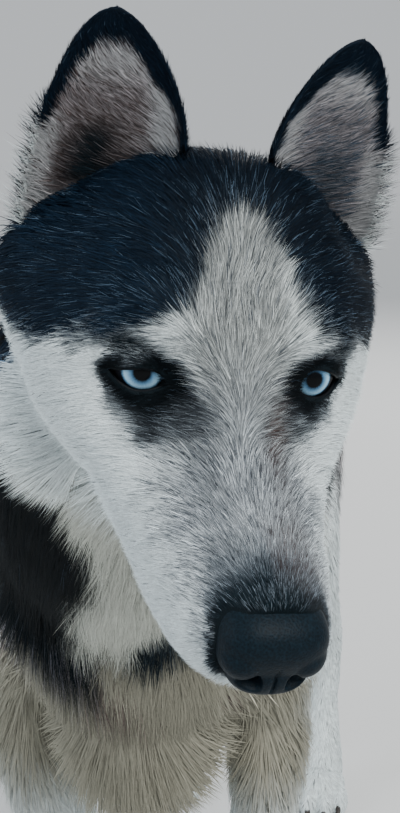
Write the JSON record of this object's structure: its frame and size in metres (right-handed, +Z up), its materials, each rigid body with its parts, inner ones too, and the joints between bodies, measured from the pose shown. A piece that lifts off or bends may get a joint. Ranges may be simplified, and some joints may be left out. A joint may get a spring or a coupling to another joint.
{
  "type": "siberian husky",
  "caption": "Life-size standing husky with erect ears, a dense ruff, feathered thighs and a hanging brush tail, its head lowered and turned to its left.",
  "frame": {"origin": "on the floor under the middle of the overall length and width", "axes": "+Z up, -Y the way the body faces, +X the dog's left side"},
  "size_m": [0.2422, 0.9886, 0.7297],
  "materials": {
    "coat_black": "dense outer coat, matt with a soft sheen",
    "coat_white": "dense white coat, matt",
    "coat_grey": "short grizzled facial coat, matt",
    "nose_leather": "fine pebbled skin, half gloss",
    "eye_blue": "wet gloss"
  },
  "bodies": {
    "root": {"head": "coat_grey", "nose": "nose_leather", "ear_left": "coat_black", "ear_right": "coat_black", "eye_left": "eye_blue", "eye_right": "eye_blue", "neck": "coat_black", "torso": "coat_black", "tail_upper": "coat_black", "tail_lower": "coat_black", "foreleg_left": "coat_white", "foreleg_right": "coat_white", "fore_paw_left": "coat_white", "fore_paw_right": "coat_white", "thigh_left": "coat_white", "thigh_right": "coat_white", "shank_left": "coat_white", "shank_right": "coat_white", "metatarsus_left": "coat_white", "metatarsus_right": "coat_white", "hind_paw_left": "coat_white", "hind_paw_right": "coat_white"}
  },
  "joints": []
}
